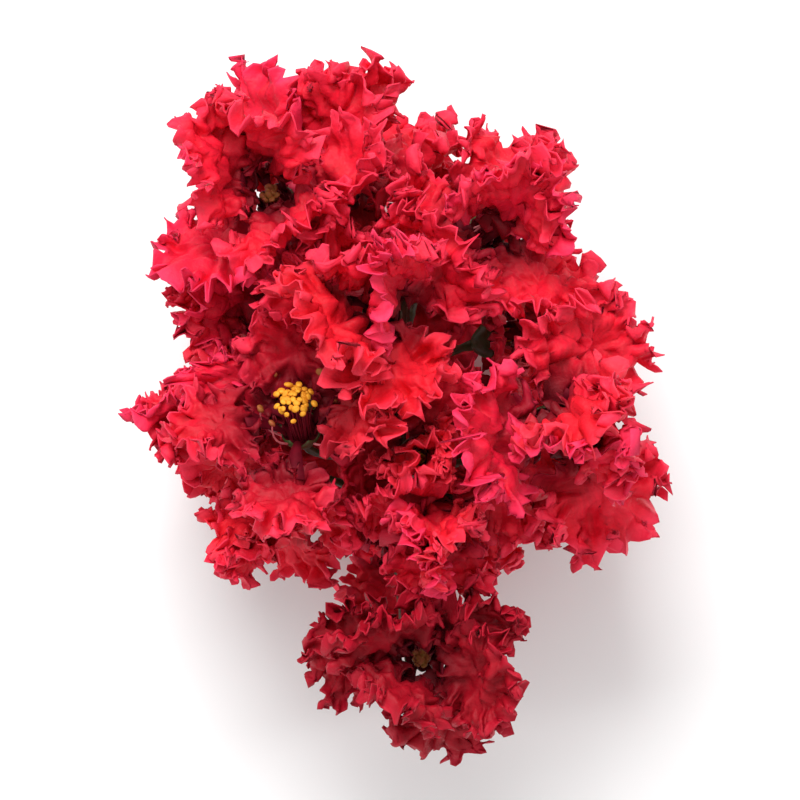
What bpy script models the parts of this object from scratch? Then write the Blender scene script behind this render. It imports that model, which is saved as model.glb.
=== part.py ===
"""Cut flower panicle of a red crape myrtle, lying down with its tip along +Y.

A tapering main stem carries eighteen blooms. Each bloom is three pieces: a toothed calyx cup
on its stalk, a corolla of six clawed, ruffled petals on a small ring, and a tuft of stamens.
Neighbouring blooms press on each other, so every petal turns up along the plane halfway to
the next bloom, and bends round the stems and along the surface that the panicle lies on.

Lengths are in millimetres and become metres when a mesh is made. +Z is up.
"""

import math
import random
from collections import namedtuple

import bmesh
import bpy
import numpy as np

MM = 0.001

# ---------------------------------------------------------------- driving dimensions, in mm
STEM_HEIGHT = 26.0  # of the main stem's line above the surface
STEM_CUT_Y = -33.0  # the cut end
STEM_TIP_Y = 29.0
STEM_CUT_RADIUS = 1.5
STEM_TIP_RADIUS = 0.8
STEM_BOW = 2.5  # sideways, halfway along
STEM_SIDES = 8
STALK_RADIUS = 0.55
STALK_BEND = 5.0  # the stalk points the bloom's way over this length

PETALS = 6  # three outer ones spread and three inner ones between them stand up
PETAL_THICKNESS = 0.42
CLAW_LENGTH = 3.0  # the narrow foot of a petal, from the middle of the bloom to the blade
CLAW_HALF_WIDTH = 0.45
BLADE_RADIUS = 7.6
BLADE_WIDTH = 1.22  # times its length
BLADE_SPOKES = 8  # points of the inner ring; the margin has twice as many
BLADE_INNER_RING = 0.52  # share of the radius
FOLD_HEIGHT = 2.8  # the few deep folds of a blade, at its margin
CRIMP_HEIGHT = 1.0  # the many small ones
FRINGE = 0.13  # share of the radius by which the margin's teeth stand out

RING_RADIUS = 1.75  # the corolla's ring, which the claws grow from
RING_HOLE = 1.15
RING_BOTTOM = 0.4
RING_TOP = 2.0
CLAW_HEIGHT = 1.2  # where the claws leave the ring
CLAW_ROOT = 0.73  # of the ring's radius, inside its wall

CUP_RADIUS = 2.7
CUP_WALL = 0.5
CUP_DEPTH = 3.8
CUP_BELLY = 0.6  # of its depth, where it is 0.8 of its width
CUP_FLOOR = 0.55  # of its depth, inside
CUP_RIM = -0.8  # height of the rim between the teeth, from the middle of the bloom
CUP_TOOTH = 1.2
TUFT_HEIGHT = 7.5  # of a full-sized tuft of stamens
TUFT_RADIUS = 2.6
COLUMN_RADIUS = 0.7

GAP = 0.3  # between pieces that touch in life
SOFT = 3.5  # depth over which a petal bends away from the next bloom
SOFT_ROUND = 1.5  # and from a stem
UPTURN = 0.8  # of the length pressed back, the share that turns up along the next bloom
CLEAR = GAP / 2 + PETAL_THICKNESS / 2 + 0.1  # from a boundary to the middle of a petal
BETWEEN = PETAL_THICKNESS / 2 + 0.15  # the same between petals of one bloom

# The blooms: middle, the way that each faces, size and how far its first petal is turned.
# Outer and inner are the petals' angles from the facing direction, curl is how much the inner
# ones bow over the middle, and tuft is the size of the stamens.
Bloom = namedtuple(
    "Bloom",
    "name middle faces size turn outer inner curl tuft",
    defaults=(85, 35, 0.02, 0.55),
)
BLOOMS = [
    Bloom("top", (-9.5, 29.5, 28), (0.15, 0.75, 0.6), 0.96, 162),
    Bloom("top_left", (-18.5, 28, 37), (-0.3, 0.45, 0.8), 0.93, 122),
    Bloom("top_right", (9.3, 24, 37), (0.35, 0.4, 0.8), 0.93, 62),
    Bloom("left", (-18.5, 14.5, 29), (-0.75, 0.2, 0.6), 0.85, 150),
    Bloom("centre", (-4.5, 13, 45), (0.0, 0.35, 0.93), 0.95, 155, inner=30),
    Bloom("front_left", (-15, -1.5, 42), (-0.1, 0.55, 0.83), 0.88, 30, inner=55, curl=0.0, tuft=1.0),
    Bloom("front_right", (17, -1.5, 42), (0.4, -0.1, 0.9), 0.97, -52, outer=80),
    Bloom("left_low", (-20, 0, 28), (-0.9, 0.0, 0.45), 0.78, 155),
    Bloom("lower_left", (-16.5, -11, 33), (-0.5, -0.5, 0.7), 0.74, 243),
    Bloom("centre_low", (3.5, -13, 38), (-0.1, -0.3, 0.95), 0.77, 268),
    Bloom("middle", (0.3, -5.5, 36), (0.1, -0.1, 0.97), 0.75, 60),
    Bloom("bottom", (0.8, -31.5, 33), (-0.15, -0.35, 0.92), 0.88, 174, outer=88, inner=28),
    Bloom("right", (11, 10, 25), (0.9, 0.2, 0.2), 0.78, 0),
    Bloom("right_low", (13, -7, 23), (0.93, -0.15, -0.1), 0.74, 30),
    Bloom("back_left", (-15, 3, 14), (-0.4, -0.1, -0.9), 0.9, 0),
    Bloom("back_right", (9, 0, 14), (0.3, 0.0, -0.95), 0.9, 25),
    Bloom("back_top", (0, 19, 15), (0.0, 0.4, -0.9), 0.9, 10),
    Bloom("back_low", (-1.5, -16.5, 15), (0.0, -0.5, -0.87), 0.75, 40),
]


# ---------------------------------------------------------------- small geometry helpers
def unit(vector):
    vector = np.asarray(vector, float)
    return vector / np.linalg.norm(vector)


def frame_of(direction):
    """Two unit vectors across a direction, the second as near +Y as it can be."""
    ahead = unit(direction)
    upright = (0, 0, 1) if abs(ahead[1]) > 0.95 else (0, 1, 0)
    over = unit(upright - (ahead @ upright) * ahead)
    return np.cross(over, ahead), over


def middle_of(bloom):
    """A bloom's middle, and the direction that it faces."""
    return np.asarray(bloom.middle, float), unit(bloom.faces)


def ring(centre, direction, radius, sides, turn=0.0):
    """Points round a centre, across a direction."""
    across, over = frame_of(direction)
    angles = turn + np.arange(sides) * 2 * math.pi / sides
    return centre + radius * (np.outer(np.cos(angles), across) + np.outer(np.sin(angles), over))


def along(route, share):
    """The point and the direction at a share of the way through a curve of three points."""
    start, middle, end = route
    here = (1 - share) ** 2 * start + 2 * share * (1 - share) * middle + share**2 * end
    ahead = (1 - share) * (middle - start) + share * (end - middle)
    return here, unit(ahead)


def link(name, points, faces, made_of):
    """A mesh object from points in millimetres."""
    mesh = bpy.data.meshes.new(name)
    mesh.from_pydata((np.asarray(points) * MM).tolist(), [], faces)
    mesh.update()
    mesh.materials.append(made_of)
    obj = bpy.data.objects.new(name, mesh)
    bpy.context.scene.collection.objects.link(obj)
    return obj


def shade(obj, sharp_over):
    obj.data.shade_smooth()
    obj.data.set_sharp_from_angle(angle=math.radians(sharp_over))


def tube(name, rings, made_of):
    """A closed skin over rings of points, with flat ends."""
    sides, last = len(rings[0]), len(rings[0]) * (len(rings) - 1)
    faces = [tuple(range(sides))[::-1], tuple(range(last, last + sides))]
    for low in range(0, last, sides):
        for side in range(sides):
            after = (side + 1) % sides
            faces.append((low + side, low + after, low + sides + after, low + sides + side))
    obj = link(name, np.concatenate(rings), faces, made_of)
    shade(obj, 50)
    return obj


def material(name, colour, roughness):
    made = bpy.data.materials.new(name)
    made.use_nodes = True
    shader = made.node_tree.nodes["Principled BSDF"]
    shader.inputs["Base Color"].default_value = (*colour, 1)
    shader.inputs["Roughness"].default_value = roughness
    shader.inputs["Metallic"].default_value = 0.0
    return made


# ---------------------------------------------------------------- stems
def stem_share(y):
    return (y - STEM_CUT_Y) / (STEM_TIP_Y - STEM_CUT_Y)


def stem_point(y):
    return np.array([-STEM_BOW * math.sin(math.pi * stem_share(y)), y, STEM_HEIGHT])


def stem_radius(y):
    return STEM_CUT_RADIUS + (STEM_TIP_RADIUS - STEM_CUT_RADIUS) * stem_share(y)


def stalk_route(bloom):
    """A bloom's stalk: beside the main stem, the bend, and the foot of its cup."""
    middle, faces = middle_of(bloom)
    foot_y = np.clip(middle[1] * 0.8 - 4, STEM_CUT_Y + 6, STEM_TIP_Y - 1)
    bend = middle - faces * (CUP_DEPTH + STALK_BEND)
    stem = stem_point(foot_y)
    outward = unit((bend - stem) * (1, 0, 1))
    foot = stem + outward * (stem_radius(foot_y) + GAP)
    return foot, bend, middle - faces * CUP_DEPTH, outward


def make_main_stem(bark):
    rings = []
    for y in np.linspace(STEM_CUT_Y, STEM_TIP_Y, 9):
        ahead = stem_point(y + 0.5) - stem_point(y - 0.5)
        if y == STEM_CUT_Y:
            ahead = (0, 1, 0)
        rings.append(ring(stem_point(y), ahead, stem_radius(y), STEM_SIDES))
    return tube("main_stem", rings, bark)


# ---------------------------------------------------------------- where petals may go
def press(points, normals, depth, soft, clear=CLEAR):
    """Eases points back from a surface: depth is their height past it, along its normals."""
    start = -clear - soft
    eased = -clear - soft * np.exp(-(depth - start) / soft)
    return points + np.where(depth > start, eased - depth, 0)[:, None] * normals


def keep_round(points, start, end, radius):
    """Eases points out of a round bar between two ends."""
    line = end - start
    share = np.clip((points - start) @ line / (line @ line), 0, 1)
    inward = start + np.outer(share, line) - points
    away = np.linalg.norm(inward, axis=1)
    inward /= np.maximum(away, 1e-6)[:, None]
    return press(points, inward, -away, SOFT_ROUND, radius + CLEAR + 0.1)


def cell_planes(bloom):
    """The planes that bound a bloom's space: the surface, and halfway to each neighbour."""
    planes = [(np.array([0.0, 0.0, -1.0]), 0.0)]
    middle, faces = middle_of(bloom)
    own = middle + faces * CUP_RADIUS * 1.5
    for other in BLOOMS:
        if other is not bloom:
            middle, faces = middle_of(other)
            towards = middle + faces * CUP_RADIUS * 1.5 - own
            normal = unit(towards)
            planes.append((normal, normal @ (own + towards / 2)))
    return planes


def petal_azimuth(bloom, petal):
    return math.radians(bloom.turn + petal * 360 / PETALS)


def layer_slope(points, bloom, petal):
    """Directions and heights past the cone between a bloom's outer and inner petals."""
    middle, faces = middle_of(bloom)
    cone = math.radians((bloom.outer + bloom.inner) / 2)
    height = (points - middle) @ faces
    radial = points - middle - np.outer(height, faces)
    reach = np.linalg.norm(radial, axis=1)
    radial /= np.maximum(reach, 1e-6)[:, None]
    layer = -1 if petal % 2 else 1
    normals = layer * (math.sin(cone) * faces - math.cos(cone) * radial)
    return normals, layer * (height * math.sin(cone) - reach * math.cos(cone))


def sector_planes(bloom, petal):
    """The two planes through a bloom's axis that part a petal from the next of its layer."""
    middle, faces = middle_of(bloom)
    across, over = frame_of(faces)
    planes = []
    for turn in (-1, 1):
        edge = petal_azimuth(bloom, petal) + turn * (2 * math.pi / PETALS + math.pi / 2)
        normal = math.cos(edge) * across + math.sin(edge) * over
        planes.append((normal, normal @ middle))
    return planes


def bars_for(bloom):
    """Round bars that the petals of a bloom go round: stems, cups, and its own stamens."""
    ys = np.linspace(STEM_CUT_Y, STEM_TIP_Y, 5)
    bars = [(stem_point(a), stem_point(b), STEM_CUT_RADIUS) for a, b in zip(ys, ys[1:])]
    for other in BLOOMS:
        middle, faces = middle_of(other)
        foot, bend, top, _ = stalk_route(other)
        halfway = along((foot, bend, top), 0.5)[0]
        bars.append((foot, halfway, STALK_RADIUS))
        bars.append((halfway, top, STALK_RADIUS))
        cup_top = middle - faces if other is bloom else middle
        bars.append((top, cup_top, CUP_RADIUS))
    middle, faces = middle_of(bloom)
    tuft = bloom.tuft * TUFT_HEIGHT
    bars.append((middle + faces * tuft * 0.6, middle + faces * tuft, TUFT_RADIUS * bloom.tuft))
    return bars


def crowd(points, bloom):
    """Turns petals up the sides of their bloom's space, where they meet the next bloom."""
    middle, faces = middle_of(bloom)
    cells = cell_planes(bloom)
    for soft in (SOFT, SOFT / 6, SOFT / 6):
        for normal, level in cells:
            bent = press(points, normal[None], points @ normal - level, soft)
            pushed = np.linalg.norm(bent - points, axis=1)
            radial = points - middle
            radial = radial - np.outer(radial @ faces, faces)
            radial = radial - np.outer(radial @ normal, normal)
            radial /= np.maximum(np.linalg.norm(radial, axis=1), 1e-6)[:, None]
            turned = faces - (faces @ normal) * normal + abs(faces @ normal) * radial
            points = bent + UPTURN * pushed[:, None] * turned
    return points


def stay_inside(points, bloom):
    """Moves what still stands outside a bloom's space straight back to its sides."""
    for _ in range(4):
        for normal, level in cell_planes(bloom):
            over = np.maximum(points @ normal - level + CLEAR * 0.9, 0)
            points = points - np.outer(over, normal)
    return points


def settle(points, bloom, petal):
    """Keeps a petal to its own space, clear of other petals, stems, stamens and the surface."""
    sectors = sector_planes(bloom, petal)
    for soft in (1.5, 0.5):
        normals, depth = layer_slope(points, bloom, petal)
        points = press(points, normals, depth, soft, BETWEEN)
        for normal, level in sectors:
            points = press(points, normal[None], points @ normal - level, soft, BETWEEN)
    bars = bars_for(bloom)
    for start, end, radius in bars:
        points = keep_round(points, start, end, radius)
    points = crowd(points, bloom)
    for start, end, radius in bars:
        points = keep_round(points, start, end, radius)
    return stay_inside(points, bloom)


# ---------------------------------------------------------------- petals
def blade_points(bloom, petal, share, angle):
    """Points of a blade: share runs from its middle to its margin, angle from its tip."""
    rng = random.Random(f"{bloom.name} {petal}")
    azimuth = petal_azimuth(bloom, petal) + math.radians(rng.uniform(-8, 8))
    opening = math.radians((bloom.inner if petal % 2 else bloom.outer) + rng.uniform(-7, 7))
    size = bloom.size * rng.uniform(0.94, 1.06)
    folds, crimps = rng.choice((4, 5)), rng.choice((9, 10, 11))
    fold_turn, crimp_turn, sway, wave = (rng.uniform(0, 2 * math.pi) for _ in range(4))
    arch = rng.uniform(-0.03, 0.01) + (bloom.curl if petal % 2 else 0)

    middle, faces = middle_of(bloom)
    across, over = frame_of(faces)
    outward = math.cos(azimuth) * across + math.sin(azimuth) * over
    ahead = math.sin(opening) * outward + math.cos(opening) * faces
    normal = math.sin(opening) * faces - math.cos(opening) * outward
    side = np.cross(normal, ahead)

    teeth = np.cos(BLADE_SPOKES * angle + wave) + 0.6 * np.cos((BLADE_SPOKES - 1) * angle + sway)
    radius = size * BLADE_RADIUS * share * (1 + FRINGE * teeth * share**2)
    run, width = radius * np.cos(angle), radius * np.sin(angle) * BLADE_WIDTH
    bend = folds * angle + fold_turn + 0.8 * np.sin(angle + sway)
    folded = FOLD_HEIGHT * share**1.5 * np.sin(bend)
    crimped = CRIMP_HEIGHT * share**2.5 * np.sin(crimps * angle + crimp_turn)
    spread = 1 - ((1 - np.cos(angle)) / 2) ** 8
    height = size * spread * (folded + crimped) + arch * (run + BLADE_RADIUS) ** 2
    start = middle + faces * CLAW_HEIGHT + ahead * size * (CLAW_LENGTH + BLADE_RADIUS)
    points = start + np.outer(run, ahead) + np.outer(width, side) + np.outer(height, normal)
    root = middle + outward * RING_RADIUS * CLAW_ROOT + faces * CLAW_HEIGHT
    claw = [root + side * CLAW_HALF_WIDTH, root - side * CLAW_HALF_WIDTH]
    return points, claw


def petal_sheet(bloom, petal):
    """One petal as a sheet: a blade of two rings, and the claw that holds it."""
    inner, margin = BLADE_SPOKES, 2 * BLADE_SPOKES
    inner_angles = (np.arange(inner) + 0.5) * 2 * math.pi / inner
    margin_angles = (np.arange(margin) + 0.5) * 2 * math.pi / margin
    angles = np.concatenate([[0.0], inner_angles, margin_angles])
    shares = np.concatenate([[0.0], np.full(inner, BLADE_INNER_RING), np.ones(margin)])
    blade, claw = blade_points(bloom, petal, shares, angles)
    blade = settle(blade, bloom, petal)

    first = 1 + inner
    triangles = []
    for spoke in range(inner):
        here, after = 1 + spoke, 1 + (spoke + 1) % inner
        low, mid, high = (first + (2 * spoke + step) % margin for step in range(3))
        triangles += [(0, here, after), (here, low, mid), (here, mid, after), (after, mid, high)]
    right, left, end = first + inner - 1, first + inner, len(blade)
    triangles += [(left, right, end), (left, end, end + 1)]
    return np.concatenate([blade, claw]), triangles


def skins_of(work):
    """The separate closed skins of a mesh, each a list of faces."""
    skins, seen = [], set()
    for start in work.faces:
        if start in seen:
            continue
        seen.add(start)
        skin = [start]
        for face in skin:
            near = {other for edge in face.edges for other in edge.link_faces} - seen
            seen |= near
            skin += sorted(near, key=lambda other: other.index)
        skins.append(skin)
    return skins


def volume_of(skin):
    total = 0.0
    for face in skin:
        first, second, third = (corner.co for corner in face.verts)
        total += first.dot(second.cross(third)) / 6
    return total


def keep_largest_skin(mesh):
    """Fills sealed hollows and drops loose scraps."""
    work = bmesh.new()
    work.from_mesh(mesh)
    bmesh.ops.triangulate(work, faces=work.faces)
    work.faces.index_update()
    for skin in sorted(skins_of(work), key=volume_of)[:-1]:
        bmesh.ops.delete(work, geom=skin, context="FACES")
    work.to_mesh(mesh)
    work.free()


def join_all(base, others):
    """One Boolean union of the ring with a collection of petals, which are then removed."""
    collection = bpy.data.collections.new("petals")
    bpy.context.scene.collection.children.link(collection)
    for other in others:
        bpy.context.scene.collection.objects.unlink(other)
        collection.objects.link(other)
    union = base.modifiers.new("petals", "BOOLEAN")
    union.operation = "UNION"
    union.operand_type = "COLLECTION"
    union.solver = "MANIFOLD"
    union.collection = collection
    bpy.context.view_layer.update()
    graph = bpy.context.evaluated_depsgraph_get()
    joined = bpy.data.meshes.new_from_object(base.evaluated_get(graph))
    base.modifiers.clear()
    base.data = joined
    for other in others:
        bpy.data.objects.remove(other)
    bpy.data.collections.remove(collection)
    keep_largest_skin(joined)


def make_hoop(bloom, red):
    """The corolla's ring, with one flat side for each claw."""
    middle, faces = middle_of(bloom)
    turn = petal_azimuth(bloom, 0.5)
    corners = (
        (RING_BOTTOM, RING_HOLE),
        (RING_BOTTOM, RING_RADIUS),
        (RING_TOP, RING_RADIUS),
        (RING_TOP, RING_HOLE),
    )
    rings = [ring(middle + faces * height, faces, wide, PETALS, turn) for height, wide in corners]
    quads = []
    for low in range(4):
        here, there = low * PETALS, (low + 1) % 4 * PETALS
        for side in range(PETALS):
            after = (side + 1) % PETALS
            quads.append((here + side, here + after, there + after, there + side))
    return link("corolla_" + bloom.name, np.concatenate(rings), quads, red)


def make_corolla(bloom, red):
    hoop = make_hoop(bloom, red)
    sheets = []
    for petal in range(PETALS):
        points, triangles = petal_sheet(bloom, petal)
        sheet = link("petal", points, triangles, red)
        thick = sheet.modifiers.new("thickness", "SOLIDIFY")
        thick.thickness = PETAL_THICKNESS * MM
        thick.offset = 0.0
        sheets.append(sheet)
    join_all(hoop, sheets)
    shade(hoop, 60)
    return hoop


# ---------------------------------------------------------------- calyx and stamens
def make_calyx(bloom, green):
    """A toothed cup on its stalk. The teeth stand between the petals."""
    middle, faces = middle_of(bloom)
    foot, bend, top, outward = stalk_route(bloom)
    halfway, ahead = along((foot, bend, top), 0.5)
    sides, turn = 2 * PETALS, math.radians(bloom.turn)
    teeth = np.outer([0.0, CUP_TOOTH] * PETALS, faces)
    inside = CUP_RADIUS - CUP_WALL
    rings = [ring(foot, outward, STALK_RADIUS, sides, turn)]
    rings.append(ring(halfway, ahead, STALK_RADIUS, sides, turn))
    for height, radius, lift in (
        (-CUP_DEPTH, STALK_RADIUS * 1.6, 0),
        (-CUP_DEPTH * CUP_BELLY, CUP_RADIUS * 0.8, 0),
        (CUP_RIM, CUP_RADIUS, 1),
        (CUP_RIM, inside, 0.8),
        (-CUP_DEPTH * CUP_FLOOR, inside * 0.8, 0),
    ):
        rings.append(ring(middle + faces * height, faces, radius, sides, turn) + lift * teeth)
    return tube("calyx_" + bloom.name, rings, green)


def make_stamens(bloom, gold):
    """A narrow column of filaments under a domed tuft of anthers."""
    middle, faces = middle_of(bloom)
    top, radius = TUFT_HEIGHT * bloom.tuft, TUFT_RADIUS * bloom.tuft
    profile = (
        (GAP - CUP_DEPTH * CUP_FLOOR, COLUMN_RADIUS),
        (min(RING_TOP, top - radius), COLUMN_RADIUS),
        (top - radius * 0.9, radius),
        (top - radius * 0.25, radius * 0.85),
        (top, radius * 0.4),
    )
    rings = [ring(middle + faces * height, faces, wide, PETALS) for height, wide in profile]
    return tube("stamens_" + bloom.name, rings, gold)


# ---------------------------------------------------------------- the panicle
def lay_down(pieces):
    """Puts the middle of the whole over the origin and its lowest point at zero height."""
    corners = np.concatenate([[tuple(v.co) for v in piece.data.vertices] for piece in pieces])
    low, high = corners.min(axis=0), corners.max(axis=0)
    shift = -np.array([(low[0] + high[0]) / 2, (low[1] + high[1]) / 2, low[2]])
    for piece in pieces:
        for vertex in piece.data.vertices:
            vertex.co = tuple(np.array(vertex.co) + shift)
    print("size in mm:", np.round((high - low) / MM, 2), "moved by:", np.round(shift / MM, 3))


def build():
    for obj in list(bpy.data.objects):
        bpy.data.objects.remove(obj)
    bark = material("stem_green", (0.16, 0.14, 0.05), 0.6)
    green = material("calyx_green", (0.12, 0.13, 0.03), 0.5)
    red = material("petal_red", (0.78, 0.012, 0.035), 0.5)
    gold = material("anther_gold", (0.8, 0.38, 0.03), 0.6)
    pieces = [make_main_stem(bark)]
    for bloom in BLOOMS:
        pieces += [make_calyx(bloom, green), make_stamens(bloom, gold), make_corolla(bloom, red)]
    lay_down(pieces)


build()
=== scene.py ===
# %% [markdown]
# # A cut flower panicle of a red crape myrtle
#
# A panicle is a branching flower head. This one is cut and lies on a table with its tip away
# from us. It carries eighteen blooms on a thin stem, so close together that the ruffled petals
# press on each other and hide almost everything else.
#
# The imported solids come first. They give every piece its place: we dress them with finer
# growth, and never move them.

# %% Load the solids
import math
import random
from collections import namedtuple

import bmesh
import bpy
import numpy as np
from mathutils import Matrix, Vector


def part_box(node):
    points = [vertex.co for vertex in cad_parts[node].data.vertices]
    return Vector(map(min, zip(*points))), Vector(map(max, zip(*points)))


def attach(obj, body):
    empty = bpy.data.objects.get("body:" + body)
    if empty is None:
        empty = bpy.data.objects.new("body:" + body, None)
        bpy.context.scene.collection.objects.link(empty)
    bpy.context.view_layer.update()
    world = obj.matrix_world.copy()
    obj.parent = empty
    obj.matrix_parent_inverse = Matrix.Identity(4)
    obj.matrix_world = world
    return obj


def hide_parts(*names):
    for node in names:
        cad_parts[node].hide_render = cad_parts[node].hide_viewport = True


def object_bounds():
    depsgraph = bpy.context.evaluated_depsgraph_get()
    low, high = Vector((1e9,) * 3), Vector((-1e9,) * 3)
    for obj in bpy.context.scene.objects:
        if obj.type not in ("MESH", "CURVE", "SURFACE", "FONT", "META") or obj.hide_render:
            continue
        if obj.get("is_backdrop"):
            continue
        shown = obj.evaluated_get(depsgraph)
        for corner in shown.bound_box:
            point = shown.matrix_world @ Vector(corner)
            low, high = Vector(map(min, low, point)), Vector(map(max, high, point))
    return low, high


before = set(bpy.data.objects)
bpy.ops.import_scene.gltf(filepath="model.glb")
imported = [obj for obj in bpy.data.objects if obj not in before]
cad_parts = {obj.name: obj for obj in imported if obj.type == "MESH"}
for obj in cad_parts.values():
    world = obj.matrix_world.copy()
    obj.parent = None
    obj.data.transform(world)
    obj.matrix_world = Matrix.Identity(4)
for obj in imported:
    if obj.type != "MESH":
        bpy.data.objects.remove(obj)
cad_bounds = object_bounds()
MM = 0.001


def new_object(name, data):
    made = bpy.data.objects.new(name, data)
    bpy.context.scene.collection.objects.link(made)
    return made


print("solids:", len(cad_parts), "box in m:", cad_bounds)

# %% [markdown]
# ## The camera
#
# The panicle lies down and we look straight down on it, with its tip at the top of the view. A
# long lens from far away keeps the near blooms from growing larger than the far ones, and the
# width of the view is set where the outline is widest, about halfway through the thickness.

# %% Place the camera
VIEW_WIDTH = 105.3  # mm across the view, at the height of the outline
VIEW_HEIGHT = 30.0  # mm above the table
VIEW_MIDDLE = (-0.07, -0.13)  # mm, the point in the middle of the view
LENS = 180.0

lens_data = bpy.data.cameras.new("camera")
lens_data.lens = LENS
lens_data.clip_start, lens_data.clip_end = 0.05, 5.0
camera = new_object("camera", lens_data)
distance = VIEW_WIDTH * LENS / lens_data.sensor_width
camera.location = Vector((*VIEW_MIDDLE, VIEW_HEIGHT + distance)) * MM
bpy.context.scene.camera = camera
print("camera height in m:", round(camera.location.z, 3))

# %% [markdown]
# ## How the panicle grows
#
# A plant is easier to describe by a rule than by its shapes. These are the sizes that the rule
# uses, in millimetres. The petals come in two layers of three: the outer ones spread and the
# inner ones stand up between them.

# %% Sizes of the panicle
STEM_HEIGHT = 26.0  # of the main stem's line above the table
STEM_CUT_Y = -33.0  # the cut end
STEM_TIP_Y = 29.0
STEM_CUT_RADIUS = 1.5
STEM_TIP_RADIUS = 0.8
STEM_BOW = 2.5  # sideways, halfway along
STALK_RADIUS = 0.55
STALK_BEND = 5.0

PETALS = 6
PETAL_ROOM = 0.42  # the space that a petal's thickness takes
CLAW_LENGTH = 3.0
CLAW_HEIGHT = 1.2
BLADE_RADIUS = 7.6
BLADE_WIDTH = 1.22
BLADE_SPOKES = 8
FOLD_HEIGHT = 2.8
FRINGE = 0.13

CUP_RADIUS = 2.7
CUP_WALL = 0.5
CUP_DEPTH = 3.8
CUP_RIM = -0.8
CUP_TOOTH = 1.2
TUFT_HEIGHT = 7.5
TUFT_RADIUS = 2.6

GAP = 0.3  # between a stalk and the main stem
SOFT = 3.5  # how far before a boundary points start to be eased back
SOFT_ROUND = 1.5  # the same near a round bar
UPTURN = 0.8  # mm that a point moves up for each mm that it is pressed back
CLEAR = GAP / 2 + PETAL_ROOM / 2 + 0.1  # what a petal's middle keeps from a boundary
TOUCHING = -0.4  # the same between petals of two blooms, which mingle

Bloom = namedtuple(
    "Bloom",
    "name middle faces size turn outer inner curl tuft",
    defaults=(85, 35, 0.02, 0.55),
)
BLOOMS = [
    Bloom("top", (-9.5, 29.5, 28), (0.15, 0.75, 0.6), 0.96, 162),
    Bloom("top_left", (-18.5, 28, 37), (-0.3, 0.45, 0.8), 0.93, 122),
    Bloom("top_right", (9.3, 24, 37), (0.35, 0.4, 0.8), 0.93, 62),
    Bloom("left", (-18.5, 14.5, 29), (-0.75, 0.2, 0.6), 0.85, 150),
    Bloom("centre", (-4.5, 13, 45), (0.0, 0.35, 0.93), 0.95, 155, inner=30),
    Bloom("front_left", (-15, -1.5, 42), (-0.1, 0.55, 0.83), 0.88, 30, inner=55, curl=0, tuft=1),
    Bloom("front_right", (17, -1.5, 42), (0.4, -0.1, 0.9), 0.97, -52, outer=80),
    Bloom("left_low", (-20, 0, 28), (-0.9, 0.0, 0.45), 0.78, 155),
    Bloom("lower_left", (-16.5, -11, 33), (-0.5, -0.5, 0.7), 0.74, 243),
    Bloom("centre_low", (3.5, -13, 38), (-0.1, -0.3, 0.95), 0.77, 268),
    Bloom("middle", (0.3, -5.5, 36), (0.1, -0.1, 0.97), 0.75, 60),
    Bloom("bottom", (0.8, -31.5, 33), (-0.15, -0.35, 0.92), 0.88, 174, outer=88, inner=28),
    Bloom("right", (11, 10, 25), (0.9, 0.2, 0.2), 0.78, 0),
    Bloom("right_low", (13, -7, 23), (0.93, -0.15, -0.1), 0.74, 30),
    Bloom("back_left", (-15, 3, 14), (-0.4, -0.1, -0.9), 0.9, 0),
    Bloom("back_right", (9, 0, 14), (0.3, 0.0, -0.95), 0.9, 25),
    Bloom("back_top", (0, 19, 15), (0.0, 0.4, -0.9), 0.9, 10),
    Bloom("back_low", (-1.5, -16.5, 15), (0.0, -0.5, -0.87), 0.75, 40),
]
print("blooms:", len(BLOOMS))

# %% [markdown]
# ## Directions round a bloom
#
# Each bloom has a middle and a direction that it faces. Two more directions across that one
# let us turn round it, as round a clock. The same few helpers serve stems, cups and petals.


# %% Directions and curves
def unit(vector):
    vector = np.asarray(vector, float)
    return vector / np.linalg.norm(vector)


def units(rows):
    """A unit vector for each row."""
    return rows / np.maximum(np.linalg.norm(rows, axis=1), 1e-6)[:, None]


def frame_of(direction):
    """Two unit vectors across a direction, the second as near +Y as it can be."""
    ahead = unit(direction)
    upright = (0, 0, 1) if abs(ahead[1]) > 0.95 else (0, 1, 0)
    over = unit(upright - (ahead @ upright) * ahead)
    return np.cross(over, ahead), over


def middle_of(bloom):
    """A bloom's middle, and the direction that it faces."""
    return np.asarray(bloom.middle, float), unit(bloom.faces)


def along(route, share):
    """The point at a share of the way through a curve of three points."""
    start, middle, end = route
    return (1 - share) ** 2 * start + 2 * share * (1 - share) * middle + share**2 * end


def stem_share(y):
    return (y - STEM_CUT_Y) / (STEM_TIP_Y - STEM_CUT_Y)


def stem_point(y):
    return np.array([-STEM_BOW * math.sin(math.pi * stem_share(y)), y, STEM_HEIGHT])


def stem_radius(y):
    return STEM_CUT_RADIUS + (STEM_TIP_RADIUS - STEM_CUT_RADIUS) * stem_share(y)


def stalk_route(bloom):
    """A bloom's stalk: beside the main stem, the bend, and the foot of its cup."""
    middle, faces = middle_of(bloom)
    foot_y = np.clip(middle[1] * 0.8 - 4, STEM_CUT_Y + 6, STEM_TIP_Y - 1)
    bend = middle - faces * (CUP_DEPTH + STALK_BEND)
    stem = stem_point(foot_y)
    outward = unit((bend - stem) * (1, 0, 1))
    foot = stem + outward * (stem_radius(foot_y) + GAP)
    return foot, bend, middle - faces * CUP_DEPTH


# %% [markdown]
# ## Where the panicle was laid
#
# The rule above draws the panicle where it grew. The solids were then moved, so that the
# panicle lies on the table with its middle over the origin. The main stem's solid tells how
# far: we compare its box with the rule's.

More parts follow.
